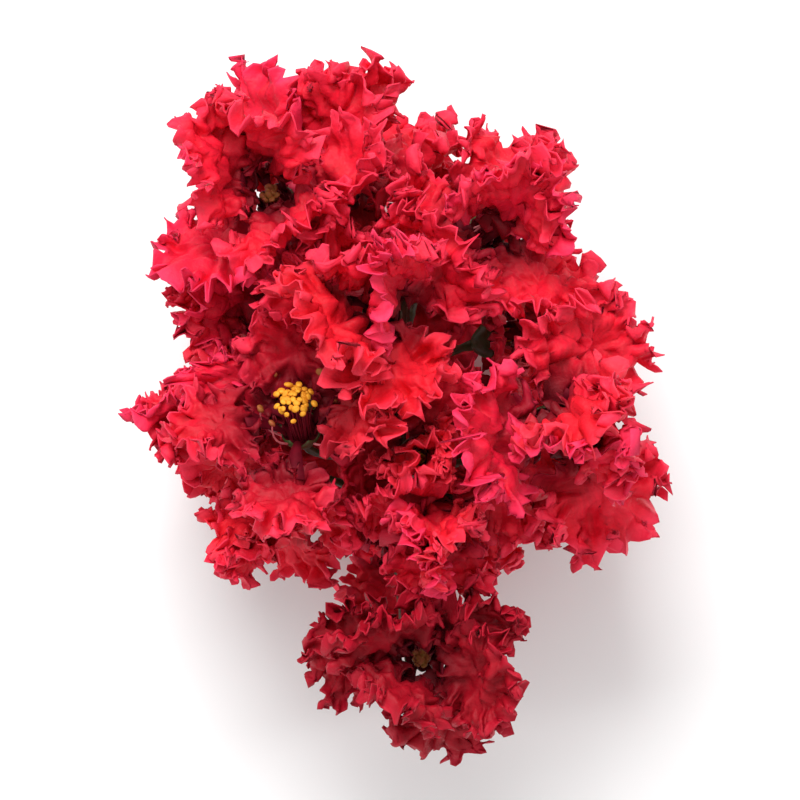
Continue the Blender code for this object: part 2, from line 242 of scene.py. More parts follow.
# %% Find the shift from the rule to the solids
stem_low = np.array(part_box("main_stem")[0]) / MM
stem_rows = np.linspace(STEM_CUT_Y, STEM_TIP_Y, 9)
rule_left = min(stem_point(y)[0] - stem_radius(y) for y in stem_rows)
rule_low = (rule_left, STEM_CUT_Y, STEM_HEIGHT - STEM_CUT_RADIUS)
SHIFT = stem_low - np.array(rule_low)
print("moved by, in mm:", np.round(SHIFT, 3))


def laid_down(points):
    """Points of the rule, in millimetres, as places in the scene, in metres."""
    return (np.asarray(points) + SHIFT) * MM


# %% [markdown]
# ## Petals keep to their own space
#
# Blooms that grow close together don't pass through each other: their petals bend and turn up
# where they meet. Every bloom gets the space that lies nearer to it than to any other. Inside
# it, a cone parts the spread petals from the standing ones, and planes through the axis part
# neighbours. A point that would cross such a boundary is eased back, softly at first and
# harder near it, so that a sheet of points bends and doesn't crease.


# %% Ease points back from planes and round bars
def press(points, normals, depth, soft, clear=CLEAR):
    """Eases points back from a surface: depth is their height past it, along its normals."""
    start = -clear - soft
    eased = -clear - soft * np.exp(-(depth - start) / soft)
    return points + np.where(depth > start, eased - depth, 0)[:, None] * normals


def keep_round(points, bars):
    """Eases points out of round bars of (one end, the other, radius)."""
    for start, end, radius in bars:
        line = end - start
        share = np.clip((points - start) @ line / (line @ line), 0, 1)
        inward = start + np.outer(share, line) - points
        away = np.linalg.norm(inward, axis=1)
        points = press(points, units(inward), -away, SOFT_ROUND, radius + CLEAR + 0.1)
    return points


# %% The boundaries of a bloom and of a petal
def cell_planes(bloom):
    """The planes that bound a bloom's space: the table, and halfway to each neighbour."""
    planes = [(np.array([0.0, 0.0, -1.0]), TOUCHING - CLEAR)]
    middle, faces = middle_of(bloom)
    own = middle + faces * CUP_RADIUS * 1.5
    for other in BLOOMS:
        if other is not bloom:
            middle, faces = middle_of(other)
            towards = middle + faces * CUP_RADIUS * 1.5 - own
            normal = unit(towards)
            planes.append((normal, normal @ (own + towards / 2)))
    return planes


def petal_azimuth(bloom, petal):
    return math.radians(bloom.turn + petal * 360 / PETALS)


def layer_slope(points, bloom, petal):
    """Directions and heights past the cone between a bloom's outer and inner petals."""
    middle, faces = middle_of(bloom)
    cone = math.radians((bloom.outer + bloom.inner) / 2)
    height = (points - middle) @ faces
    radial = points - middle - np.outer(height, faces)
    reach = np.linalg.norm(radial, axis=1)
    layer = -1 if petal % 2 else 1
    normals = layer * (math.sin(cone) * faces - math.cos(cone) * units(radial))
    return normals, layer * (height * math.sin(cone) - reach * math.cos(cone))


def sector_planes(bloom, petal):
    """The two planes through a bloom's axis that part a petal from the next of its layer."""
    middle, faces = middle_of(bloom)
    across, over = frame_of(faces)
    planes = []
    for turn in (-1, 1):
        edge = petal_azimuth(bloom, petal) + turn * (math.tau / PETALS + math.pi / 2)
        normal = math.cos(edge) * across + math.sin(edge) * over
        planes.append((normal, normal @ middle))
    return planes


def bars_for(bloom):
    """Round bars that the petals of a bloom go round: stems, cups, and its own stamens."""
    ys = np.linspace(STEM_CUT_Y, STEM_TIP_Y, 5)
    bars = [(stem_point(a), stem_point(b), STEM_CUT_RADIUS) for a, b in zip(ys, ys[1:])]
    for other in BLOOMS:
        middle, faces = middle_of(other)
        foot, bend, top = stalk_route(other)
        halfway = along((foot, bend, top), 0.5)
        bars += [(foot, halfway, STALK_RADIUS), (halfway, top, STALK_RADIUS)]
        cup_top = middle - faces if other is bloom else middle
        bars.append((top, cup_top, CUP_RADIUS))
    middle, faces = middle_of(bloom)
    tuft = bloom.tuft * TUFT_HEIGHT
    bars.append((middle + faces * tuft * 0.6, middle + faces * tuft, TUFT_RADIUS * bloom.tuft))
    return bars


# %% Bend a petal into its space
def crowd(points, bloom):
    """Turns petals up the sides of their bloom's space, where they meet the next bloom."""
    middle, faces = middle_of(bloom)
    cells = cell_planes(bloom)
    for soft in (SOFT, SOFT / 6, SOFT / 6):
        for normal, level in cells:
            bent = press(points, normal[None], points @ normal - level, soft, TOUCHING)
            pushed = np.linalg.norm(bent - points, axis=1)
            radial = points - middle
            radial = radial - np.outer(radial @ faces, faces)
            radial = units(radial - np.outer(radial @ normal, normal))
            turned = faces - (faces @ normal) * normal + abs(faces @ normal) * radial
            points = bent + UPTURN * pushed[:, None] * turned
    return points


def stay_inside(points, bloom):
    """Moves what still stands outside a bloom's space straight back to its sides."""
    for _ in range(4):
        for normal, level in cell_planes(bloom):
            over = np.maximum(points @ normal - level + TOUCHING, 0)
            points = points - np.outer(over, normal)
    return points


# %% [markdown]
# ## The colours of the plant
#
# The petals are a saturated crimson. Light that has passed from petal to petal turns the
# depths a darker, purer red by itself, so the material stays simple: a red that drifts a
# little, faint veins, a rosier margin lightened by a painted highlight, painted shade in the
# throat, a fine relief and a weak soft gloss.
# Three such reds are dealt out petal by petal, because no two petals of a head have the same
# age, and a fourth, darker copy paints shade on the lowest bloom.
#
# Three effects serve several materials, so they are node groups with named inputs: a drifting
# mix of two colours, a fine relief, and the marks of a petal.


# %% Nodes and groups
def add_node(tree, kind, inputs=(), **properties):
    """A new node with its properties and the values of its inputs, by name or number."""
    node = tree.nodes.new("ShaderNode" + kind)
    for name, value in properties.items():
        setattr(node, name, value)
    for name, value in dict(inputs).items():
        node.inputs[name].default_value = value
    return node


def wire(tree, *routes):
    """Links nodes, by routes of (node, its output, next node, its input)."""
    for source, output, target, entry in routes:
        tree.links.new(source.outputs[output], target.inputs[entry])


def new_group(name, inputs, outputs):
    """A group with the labels and kinds of its sockets, and its two end nodes."""
    group = bpy.data.node_groups.new(name, "ShaderNodeTree")
    for way, sockets in (("INPUT", inputs), ("OUTPUT", outputs)):
        for label, kind in sockets.items():
            group.interface.new_socket(label, in_out=way, socket_type="NodeSocket" + kind)
    return group, group.nodes.new("NodeGroupInput"), group.nodes.new("NodeGroupOutput")


# %% A drift between two colours
def make_colour_drift():
    """Mixes two colours by a soft noise, in patches of a size in millimetres."""
    inputs = {"First": "Color", "Second": "Color", "Patches per mm": "Float"}
    group, enter, leave = new_group("colour_drift", inputs, {"Color": "Color"})
    place = add_node(group, "TexCoord")
    scale = add_node(group, "Math", {1: 1 / MM}, operation="MULTIPLY")
    noise = add_node(group, "TexNoise", {"Detail": 3.0, "Roughness": 0.6})
    spread = add_node(group, "MapRange", {"From Min": 0.35, "From Max": 0.65})
    mix = add_node(group, "Mix", data_type="RGBA")
    wire(
        group,
        (enter, "Patches per mm", scale, 0),
        (place, "Object", noise, "Vector"),
        (scale, 0, noise, "Scale"),
        (noise, "Fac", spread, "Value"),
        (spread, "Result", mix, "Factor"),
        (enter, "First", mix, "A"),
        (enter, "Second", mix, "B"),
        (mix, "Result", leave, "Color"),
    )
    return group


colour_drift = make_colour_drift()


# %% A fine relief
def make_fine_relief():
    """A bump from a noise, with a depth in millimetres."""
    inputs = {"Per mm": "Float", "Depth mm": "Float"}
    group, enter, leave = new_group("fine_relief", inputs, {"Normal": "Vector"})
    place = add_node(group, "TexCoord")
    scale = add_node(group, "Math", {1: 1 / MM}, operation="MULTIPLY")
    noise = add_node(group, "TexNoise", {"Detail": 4.0, "Roughness": 0.65, "Distortion": 0.4})
    depth = add_node(group, "Math", {1: MM}, operation="MULTIPLY")
    height = add_node(group, "Math", operation="MULTIPLY")
    bump = add_node(group, "Bump", {"Distance": 1.0})
    wire(
        group,
        (enter, "Per mm", scale, 0),
        (place, "Object", noise, "Vector"),
        (scale, 0, noise, "Scale"),
        (enter, "Depth mm", depth, 0),
        (noise, "Fac", height, 0),
        (depth, 0, height, 1),
        (height, 0, bump, "Height"),
        (bump, "Normal", leave, "Normal"),
    )
    return group


fine_relief = make_fine_relief()

# %% [markdown]
# A petal's marks follow the petal and not the space round it. They read a map that each petal
# carries: the direction from its claw, the share of the way to its margin, and how near a
# point is to its foot, which sets how much painted shade darkens the throat.

# %% The marks of a petal
VEIN_STRETCH = (70, 2.5, 1)  # a noise drawn out into streaks along the petal


def make_petal_marks():
    """Veins fanning from the claw, a rosy margin with painted highlight, painted throat shade."""
    inputs = {"Body": "Color", "Margin": "Color", "Throat": "Color", "Veins": "Float"}
    group, enter, leave = new_group("petal_marks", inputs, {"Color": "Color"})
    marks = add_node(group, "UVMap", uv_map="petal")
    stretch = add_node(group, "VectorMath", {1: VEIN_STRETCH}, operation="MULTIPLY")
    streaks = add_node(group, "TexNoise", {"Scale": 1.0, "Detail": 2.0})
    vein = add_node(group, "MapRange", {"From Min": 0.4, "From Max": 0.62})
    strength = add_node(group, "Math", operation="MULTIPLY")
    shares = add_node(group, "SeparateXYZ")
    # the margin's rosier tone, lightened further as a painted highlight on the frills
    rim = add_node(group, "MapRange", {"From Min": 0.78, "From Max": 1.0, "To Max": 0.7})
    foot = add_node(group, "Attribute", attribute_name="foot")
    # painted shade: the petal darkens towards its claw, deep in the throat
    throat_shade = add_node(group, "MapRange", {"From Min": 0.15, "From Max": 0.8})
    wire(
        group,
        (marks, "UV", stretch, 0),
        (stretch, "Vector", streaks, "Vector"),
        (streaks, "Fac", vein, "Value"),
        (vein, "Result", strength, 0),
        (enter, "Veins", strength, 1),
        (marks, "UV", shares, "Vector"),
        (shares, "Y", rim, "Value"),
        (foot, "Fac", throat_shade, "Value"),
    )
    colour = (enter, "Body")
    for share, output, other in (
        (rim, "Result", "Margin"),
        (strength, 0, "Throat"),
        (throat_shade, "Result", "Throat"),
    ):
        mix = add_node(group, "Mix", data_type="RGBA")
        wire(group, (share, output, mix, "Factor"), (*colour, mix, "A"), (enter, other, mix, "B"))
        colour = (mix, "Result")
    wire(group, (*colour, leave, "Color"))
    return group


petal_marks = make_petal_marks()


# %% Materials from the effects
def plant_material(name, first, second, patches, roughness, relief, gloss=0.35):
    """A skin of two drifting colours. Relief is (bumps per mm, depth in mm)."""
    made = bpy.data.materials.new(name)
    made.use_nodes = True
    tree = made.node_tree
    skin = tree.nodes["Principled BSDF"]
    skin.inputs["Roughness"].default_value = roughness
    skin.inputs["Specular IOR Level"].default_value = gloss
    colours = {"First": (*first, 1), "Second": (*second, 1), "Patches per mm": patches}
    drift = add_node(tree, "Group", colours, node_tree=colour_drift)
    depths = {"Per mm": relief[0], "Depth mm": relief[1]}
    fine = add_node(tree, "Group", depths, node_tree=fine_relief)
    wire(tree, (drift, "Color", skin, "Base Color"), (fine, "Normal", skin, "Normal"))
    return made


PETAL_RELIEF = (1.6, 0.15)
# the darkest red, which the veins and the painted shade of the throat darken towards
VEIN_AND_THROAT_SHADE = (0.16, 0.002, 0.008)
VEINS = 0.22


def petal_material(name, first, second, margin):
    """A plant material whose drifting red also carries the marks of a petal."""
    made = plant_material(name, first, second, 0.35, 0.52, PETAL_RELIEF, gloss=0.2)
    tree = made.node_tree
    skin = tree.nodes["Principled BSDF"]
    drift = skin.inputs["Base Color"].links[0].from_node
    inks = {"Margin": (*margin, 1), "Throat": (*VEIN_AND_THROAT_SHADE, 1), "Veins": VEINS}
    marks = add_node(tree, "Group", inks, node_tree=petal_marks)
    wire(tree, (drift, "Color", marks, "Body"), (marks, "Color", skin, "Base Color"))
    return made


# %% The colours
# each red: its name, two drifting reds, and its margin, rosier and lightened as a painted
# highlight
REDS = [
    petal_material("petal_" + name, *colours)
    for name, *colours in (
        ("crimson", (0.88, 0.012, 0.040), (0.74, 0.008, 0.026), (0.95, 0.040, 0.10)),
        ("rose", (0.88, 0.013, 0.052), (0.74, 0.008, 0.032), (0.93, 0.040, 0.13)),
        ("scarlet", (0.90, 0.014, 0.032), (0.78, 0.009, 0.024), (0.95, 0.045, 0.09)),
        # a darker copy of the red, painted shade for the lowest bloom
        ("deep", (0.44, 0.004, 0.016), (0.33, 0.003, 0.012), (0.52, 0.007, 0.03)),
    )
]
maroon, leaf_green, stem_skin, thread_red, thread_pink, anther_gold, bronze = (
    plant_material(*look)
    for look in (
        ("claw_maroon", (0.15, 0.003, 0.012), (0.09, 0.002, 0.008), 0.6, 0.65, (2, 0.05), 0.1),
        ("calyx_green", (0.04, 0.07, 0.012), (0.09, 0.035, 0.015), 0.4, 0.42, (1.5, 0.08)),
        ("stem_skin", (0.07, 0.045, 0.018), (0.12, 0.04, 0.025), 0.5, 0.55, (1.2, 0.15)),
        ("filament_red", (0.32, 0.01, 0.03), (0.22, 0.006, 0.02), 0.8, 0.5, (3, 0.02)),
        ("filament_pink", (0.72, 0.12, 0.16), (0.85, 0.26, 0.28), 0.8, 0.45, (3, 0.02)),
        ("anther_gold", (0.95, 0.47, 0.03), (0.75, 0.28, 0.012), 1.2, 0.6, (6, 0.06)),
        ("anther_bronze", (0.30, 0.12, 0.018), (0.34, 0.05, 0.02), 1.2, 0.6, (6, 0.06)),
    )
)
print("materials:", len(bpy.data.materials))


# %% [markdown]
# ## The main stem
#
# The stem is thinner than a match and tapers to the tip. Its skin has fine ridges lengthwise,
# which wander as they run. We model it as by hand: a circle at the cut end is extruded a short
# step at a time along the stem's bow, and made a little narrower at each step. Its points are
# then moved in and out in waves, so that the ridges are real relief.


# %% Extrude the stem
def start_clean():
    """Deselects everything, because operators act on all that is selected."""
    bpy.ops.object.select_all(action="DESELECT")


def pick(piece):
    """Selects one object alone, for the next operator."""
    start_clean()
    piece.select_set(True)
    bpy.context.view_layer.objects.active = piece


def extrude_tube(sides, radius, place, tilt, steps):
    """Extrudes a circle in steps of (move, growth, centre of the growth), all in metres."""
    start_clean()
    bpy.ops.mesh.primitive_circle_add(
        vertices=sides, radius=radius * MM, fill_type="NGON", location=place, rotation=tilt
    )
    bpy.ops.object.transform_apply(location=True, rotation=True, scale=True)
    bpy.ops.object.mode_set(mode="EDIT")
    bpy.ops.mesh.select_all(action="SELECT")
    for move, growth, centre in steps:
        bpy.ops.mesh.extrude_region_move(TRANSFORM_OT_translate={"value": tuple(move)})
        bpy.ops.transform.resize(value=growth, center_override=tuple(centre))
    bpy.ops.mesh.select_all(action="SELECT")
    bpy.ops.mesh.normals_make_consistent(inside=False)
    bpy.ops.object.mode_set(mode="OBJECT")
    return bpy.context.object


STEM_STEPS = 62
STEM_SIDES = 28


def model_stem():
    steps = []
    rows = np.linspace(STEM_CUT_Y, STEM_TIP_Y, STEM_STEPS + 1)
    for before, after in zip(rows, rows[1:]):
        grow = stem_radius(after) / stem_radius(before)
        move = (stem_point(after) - stem_point(before)) * MM
        steps.append((move, (grow, 1, grow), laid_down(stem_point(after))))
    foot = Vector(laid_down(stem_point(STEM_CUT_Y)))
    return extrude_tube(STEM_SIDES, STEM_CUT_RADIUS, foot, (math.pi / 2, 0, 0), steps)


stem = model_stem()
stem.name = "main_stem_skin"
print("stem faces:", len(stem.data.polygons))


# %% Give the stem's skin its ridges
RIDGE_DEPTH = 0.12  # mm
RIDGES = 9


def ridge_stem(stem):
    """Moves the skin in and out in ridges that wander along the stem."""
    mesh = stem.data
    points = np.empty(len(mesh.vertices) * 3)
    mesh.vertices.foreach_get("co", points)
    points = points.reshape(-1, 3) / MM - SHIFT
    inner = (points[:, 1] > STEM_CUT_Y + 0.2) & (points[:, 1] < STEM_TIP_Y - 0.2)
    axis = np.array([stem_point(y) for y in points[:, 1]])
    out = points - axis
    angle = np.arctan2(out[:, 2], out[:, 0])
    wander = 0.6 * np.sin(points[:, 1] * 0.31) + 0.4 * np.sin(points[:, 1] * 0.83 + 1)
    ridge = np.sin(RIDGES * (angle + 0.25 * wander)) + 0.5 * np.sin(points[:, 1] * 2.1 + 3 * angle)
    points += np.where(inner, RIDGE_DEPTH * ridge, 0)[:, None] * units(out)
    mesh.vertices.foreach_set("co", laid_down(points).ravel())
    mesh.update()


ridge_stem(stem)
pick(stem)
bpy.ops.object.shade_smooth_by_angle(angle=math.radians(50))
stem.data.materials.append(stem_skin)
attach(stem, "root")
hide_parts("main_stem")
print("stem box in mm:", [round(side / MM, 1) for side in stem.dimensions])


# %% [markdown]
# ## Stalks
#
# Each bloom stands on a stalk as thin as a wire, which leaves the stem sideways and bends
# until it points the way that the bloom faces. A curve with a round bevel is the tool for
# wires: one curve object holds all eighteen, and then becomes a mesh.


# %% Grow the stalks as one curve
def grow_curves(name, routes, width, sides, made_of):
    """Round threads along routes of (points, radius shares) in mm, as one mesh."""
    data = bpy.data.curves.new(name, "CURVE")
    data.dimensions = "3D"
    data.bevel_depth = width * MM
    data.bevel_resolution = sides // 4
    data.use_fill_caps = True
    for points, shares in routes:
        spline = data.splines.new("POLY")
        spline.points.add(len(points) - 1)
        flat = np.column_stack([laid_down(points), np.ones(len(points))])
        spline.points.foreach_set("co", flat.ravel())
        spline.points.foreach_set("radius", shares)
    pick(new_object(name, data))
    bpy.ops.object.convert(target="MESH")
    threads = bpy.context.object
    threads.data.materials.append(made_of)
    threads.data.shade_smooth()
    return threads


STALK_STEPS = 24
stalk_routes = []
for bloom in BLOOMS:
    share = np.linspace(0, 1, STALK_STEPS)
    rng = random.Random("stalk " + bloom.name)
    middle, faces = middle_of(bloom)
    foot, bend, top = stalk_route(bloom)
    points = np.array([along((foot, bend, top + faces * 0.4), s) for s in share])
    swelling = 1.0 + 0.5 * np.clip((share - 0.8) / 0.2, 0, 1) ** 2 + 0.25 * np.exp(-share * 18)
    knobs = 0.05 * np.sin(share * 30 + rng.uniform(0, 6)) + 0.04 * np.sin(share * 51)
    stalk_routes.append((points, swelling + knobs))
stalks = grow_curves("stalks", stalk_routes, STALK_RADIUS, 12, leaf_green)
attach(stalks, "root")
print("stalk faces:", len(stalks.data.polygons))

# %% [markdown]
# ## Calyx cups
#
# The calyx of this plant is a leathery cup with six pointed teeth, one between each two
# petals, and a low ridge down from each tooth. It is modelled once: a circle is extruded up
# its outside, in over the rim and down the inside, the rim's points are raised into teeth, and
# a subdivision rounds it. Then each bloom gets a copy of its own, turned the way it faces.

# %% Model one cup
CUP_SIDES = 24
CUP_PROFILE = (  # height and radius, from the foot up and over the rim
    (-CUP_DEPTH, STALK_RADIUS * 1.5),
    (-CUP_DEPTH * 0.85, CUP_RADIUS * 0.5),
    (-CUP_DEPTH * 0.6, CUP_RADIUS * 0.8),
    (-CUP_DEPTH * 0.35, CUP_RADIUS * 0.96),
    (CUP_RIM, CUP_RADIUS),
    (CUP_RIM, CUP_RADIUS - CUP_WALL),
    (-CUP_DEPTH * 0.55, (CUP_RADIUS - CUP_WALL) * 0.8),
)


def model_cup():
    steps = []
    for (low, wide), (height, radius) in zip(CUP_PROFILE, CUP_PROFILE[1:]):
        grow = radius / wide
        steps.append(((0, 0, (height - low) * MM), (grow, grow, 1), (0, 0, height * MM)))
    low, wide = CUP_PROFILE[0]
    return extrude_tube(CUP_SIDES, wide, (0, 0, low * MM), (0, 0, 0), steps)


def raise_teeth(cup):
    """Lifts the rim into six teeth, and pulls the wall out into a ridge below each."""
    for vertex in cup.data.vertices:
        x, y, z = vertex.co / MM
        angle = math.atan2(y, x)
        tooth = max(0.0, math.cos(PETALS * angle + math.pi)) ** 1.5
        if abs(z - CUP_RIM) < 0.01:
            vertex.co.z += CUP_TOOTH * tooth * MM
        elif z > -CUP_DEPTH * 0.9 and math.hypot(x, y) > 1.2:
            vertex.co.xy *= 1 + 0.07 * tooth


cup = model_cup()
raise_teeth(cup)
rounding = cup.modifiers.new("rounding", "SUBSURF")
rounding.levels = rounding.render_levels = 1
pick(cup)
bpy.ops.object.modifier_apply(modifier="rounding")
INSIDE = CUP_RADIUS - CUP_WALL * 0.7
for face in cup.data.polygons:
    x, y, z = face.center / MM
    hollow = face.normal.x * x + face.normal.y * y < 0 or face.normal.z > 0.5
    face.material_index = int(hollow and math.hypot(x, y) < INSIDE and z > -CUP_DEPTH * 0.8)
print("one cup:", len(cup.data.polygons), "faces")


# %% Place a cup under each bloom
def placing(point, towards, turn):
    """From the origin, facing +Z, to a point of the rule, facing another way."""
    across, over = frame_of(towards)
    columns = Matrix((across, over, towards)).transposed().to_4x4()
    return Matrix.Translation(laid_down(point)) @ columns @ Matrix.Rotation(turn, 4, "Z")


def join_copies(name, pattern, places, *made_of):
    """Copies a small mesh to many places, as one mesh."""
    joined = bmesh.new()
    for place in places:
        copy = pattern.copy()
        copy.transform(place)
        joined.from_mesh(copy)
        bpy.data.meshes.remove(copy)
    mesh = bpy.data.meshes.new(name)
    joined.to_mesh(mesh)
    joined.free()
    for skin in made_of:
        mesh.materials.append(skin)
    mesh.shade_smooth()
    return new_object(name, mesh)


cup_places = [placing(*middle_of(bloom), math.radians(bloom.turn)) for bloom in BLOOMS]
cups = join_copies("calyx_cups", cup.data, cup_places, leaf_green, maroon)
bpy.data.objects.remove(cup)
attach(cups, "root")
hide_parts(*("calyx_" + bloom.name for bloom in BLOOMS))
print("cup faces:", len(cups.data.polygons))

# %% [markdown]
# ## Stamens
#
# In the middle of each bloom stand some forty short stamens, whose golden anthers make a
# round tuft, and six long ones that curve out and over it, with darker bronze anthers. In two
# blooms the short anthers are bronze too, as painted shade that keeps their tufts dark. Where a
# bloom is only half open they are still low in its throat. The threads are curves again. The
# anthers are bean-shaped, modelled once from a sphere, and spread over the dome by the golden
# angle, which fills a round surface evenly.

# %% Routes of the stamens
SHORT_STAMENS = 38
LONG_STAMENS = 6
GOLDEN_ANGLE = math.pi * (3 - math.sqrt(5))
SHADED_TUFTS = ("bottom", "top_left")  # blooms whose short anthers take the bronze, as painted shade in their throats
HALF_OPEN = 0.35  # height of the stamens in a bloom that isn't fully open
THREAD_RADIUS = 0.11


def stamens_of(bloom):
    """Threads as (points, radius shares), and the places and sizes of their anthers."""
    rng = random.Random("stamens " + bloom.name)
    middle, faces = middle_of(bloom)
    across, over = frame_of(faces)
    grown = bloom.tuft if bloom.tuft == 1 else bloom.tuft * HALF_OPEN
    top, radius = TUFT_HEIGHT * grown, TUFT_RADIUS * grown
    floor = middle - faces * CUP_DEPTH * 0.5
    share = np.linspace(0, 1, 7)[:, None]
    threads, anthers = [], []
    for index in range(SHORT_STAMENS):
        turn = index * GOLDEN_ANGLE
        out = math.sqrt((index + 0.5) / SHORT_STAMENS)
        sideways = math.cos(turn) * across + math.sin(turn) * over
        height = top - radius * (1 - math.sqrt(1 - 0.85 * out**2)) + rng.uniform(-0.9, 0.3)
        tip = middle + sideways * radius * out * rng.uniform(0.8, 1.1) + faces * height
        root = floor + sideways * (0.4 + out)
        bend = root + faces * (height * 0.6 + 1) + sideways * rng.uniform(-0.3, 0.3)
        threads.append((along((root, bend, tip), share), np.linspace(1, 0.6, 7)))
        anthers.append((tip, unit(faces + sideways * out), rng.uniform(0.75, 1.2), rng.random()))
    for index in range(LONG_STAMENS):
        turn = (index + rng.uniform(-0.3, 0.3)) * math.tau / LONG_STAMENS
        sideways = math.cos(turn) * across + math.sin(turn) * over
        reach = grown * rng.uniform(4.0, 6.0)
        tip = middle + sideways * reach + faces * grown * rng.uniform(4.5, 7.0)
        bend = middle + sideways * reach * 1.25 + faces * grown * 1.5
        root = floor + sideways * 1.6
        threads.append((along((root, bend, tip), share), np.linspace(1.5, 0.9, 7)))
        anthers.append((tip, unit(faces - sideways), 1.2 * rng.uniform(0.9, 1.1), rng.random()))
    return threads, anthers


# %% Grow the threads
threads, long_threads, anthers, outer_anthers = [], [], [], []
for bloom in BLOOMS:
    more_threads, more_anthers = stamens_of(bloom)
    threads += more_threads[:SHORT_STAMENS]
    long_threads += more_threads[SHORT_STAMENS:]
    # in the shaded blooms all anthers go bronze, as painted shade; the long ones are bronze in all
    unshaded_count = 0 if bloom.name in SHADED_TUFTS else SHORT_STAMENS
    anthers += more_anthers[:unshaded_count]
    outer_anthers += more_anthers[unshaded_count:]
kinds = (("filaments", threads, thread_red), ("long_filaments", long_threads, thread_pink))
for name, routes, made_of in kinds:
    filaments = grow_curves(name, routes, THREAD_RADIUS, 4, made_of)
    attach(filaments, "root")
    print(name, len(routes), "faces:", len(filaments.data.polygons))

# %% Model one anther and spread its copies
ANTHER_SIZE = (0.42, 0.33, 0.52)  # half its sides, in mm
ANTHER_TILT = 1.2  # radians from upright


def model_anther():
    """Two lobes side by side with a groove between them."""
    start_clean()
    bpy.ops.mesh.primitive_uv_sphere_add(segments=10, ring_count=6, radius=MM)
    anther = bpy.context.object
    bpy.ops.object.mode_set(mode="EDIT")
    bpy.ops.mesh.select_all(action="SELECT")
    bpy.ops.transform.resize(value=ANTHER_SIZE, center_override=(0, 0, 0))
    bpy.ops.object.mode_set(mode="OBJECT")
    for vertex in anther.data.vertices:
        groove = math.exp(-((vertex.co.x / MM / 0.12) ** 2))
        vertex.co.y *= 1 - 0.35 * groove
    return anther


def anther_places(anthers):
    tilt = Matrix.Rotation(ANTHER_TILT, 4, "X")
    return [
        placing(point, towards, turn * math.tau) @ tilt @ Matrix.Scale(size, 4)
        for point, towards, size, turn in anthers
    ]


anther = model_anther()
tufts = join_copies("anthers", anther.data, anther_places(anthers), anther_gold)
long_and_shaded_tips = join_copies("outer_anthers", anther.data, anther_places(outer_anthers), bronze)
bpy.data.objects.remove(anther)
for piece in (tufts, long_and_shaded_tips):
    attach(piece, "root")
    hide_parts(*("stamens_" + bloom.name for bloom in BLOOMS))
print("anthers:", len(anthers) + len(outer_anthers), "faces:", len(tufts.data.polygons))

# %% [markdown]
# ## Petals
#
# A petal of the crape myrtle is a broad blade on a narrow claw, and its margin is much longer
# than the blade can hold flat, so it stands in folds, in ruffles on the folds and in crimps on
# the ruffles, and ends in a torn fringe.
#
# There are a hundred and eight petals of some thousands of faces, too many to shape one at a
# time by hand, so arrays of points do it. A blade is a net of rings round its middle. The
# number of points round a ring doubles twice on the way out, because the ruffles are at the
# margin.

# %% The net of a blade
RINGS = (  # points round a ring, and shares of the way from the blade's middle to its margin
    (60, (0.14, 0.28, 0.41, 0.52)),
    (120, (0.61, 0.68, 0.745, 0.80, 0.85)),
    (240, (0.89, 0.925, 0.955, 0.98, 1.0)),
)


def make_net():
    """Shares and angles of a blade's points, its triangles, and each point's neighbours."""
    shares, angles, triangles = [0.0], [0.0], []
    after, before = [0], [0]
    last, last_spokes = 0, 1
    for spokes, share in [(count, share) for count, ring_shares in RINGS for share in ring_shares]:
        first = len(shares)
        for spoke in range(spokes):
            step = (spoke + 1) % spokes
            here, there = first + spoke, first + step
            shares.append(share)
            angles.append(spoke * math.tau / spokes)
            after.append(there)
            before.append(first + (spoke - 1) % spokes)
            if last_spokes == 1:
                triangles.append((0, here, there))
            elif last_spokes == spokes:
                low, low_step = last + spoke, last + step
                triangles += [(low, here, there), (low, there, low_step)]
            else:
                low = last + spoke // 2
                triangles.append((low, here, there))
                if spoke % 2:
                    triangles.append((low, there, last + (spoke // 2 + 1) % last_spokes))
        last, last_spokes = first, spokes
    margin = np.arange(last, last + last_spokes)
    return [np.array(part) for part in (shares, angles, triangles, after, before, margin)]


SHARE, ANGLE, BLADE, AFTER, BEFORE, MARGIN = make_net()
print("a blade has", len(SHARE), "points and", len(BLADE), "triangles")

# %% [markdown]
# ## Waves
#
# Regular waves look like a pie crust. These have uneven lengths: the angle is bent by a slower
# wave before it enters the quick one. The fringe uses a wave of round lobes, and the crumpled
# middle of a blade a few waves that cross it in random directions.


# %% Three kinds of waves
def wobble(rng, angle, count, rough=0.8):
    """A wave of about count periods round a petal, with uneven lengths."""
    first, second, third = (rng.uniform(0, math.tau) for _ in range(3))
    bent = angle + rough / count * (np.sin(2 * angle + first) + np.sin(3 * angle + second))
    return np.sin(count * bent + third)


def scallop(rng, angle, count):
    """A wave of uneven round lobes with narrow notches between them."""
    first, second = rng.uniform(0, math.tau), rng.uniform(0, math.tau)
    bent = count * angle + 1.1 * np.sin(3 * angle + first) + 0.8 * np.sin(5 * angle + second)
    return 2 * np.abs(np.sin(bent / 2)) - 1.2


def rumple(rng, run, width, length):
    """A random relief with bumps about a length apart, mostly between -1 and 1."""
    total = 0.0
    for _ in range(4):
        turn, shift = rng.uniform(0, math.tau), rng.uniform(0, math.tau)
        line = run * math.cos(turn) + width * math.sin(turn)
        total = total + np.sin(line * math.tau / (length * rng.uniform(0.8, 1.25)) + shift)
    return total / 2


# %% [markdown]
# ## From a blade to a bloom
#
# First comes the large form: the blade's outline, its few big folds and its place in the
# bloom. It uses the same random draws as the solids, so both agree, but for a few inner petals
# that close or spread more. It is bent into the space that the bloom has. The small ruffles
# come after that, along the bent sheet's own normals, so that a petal pressed against the next
# keeps its frills.

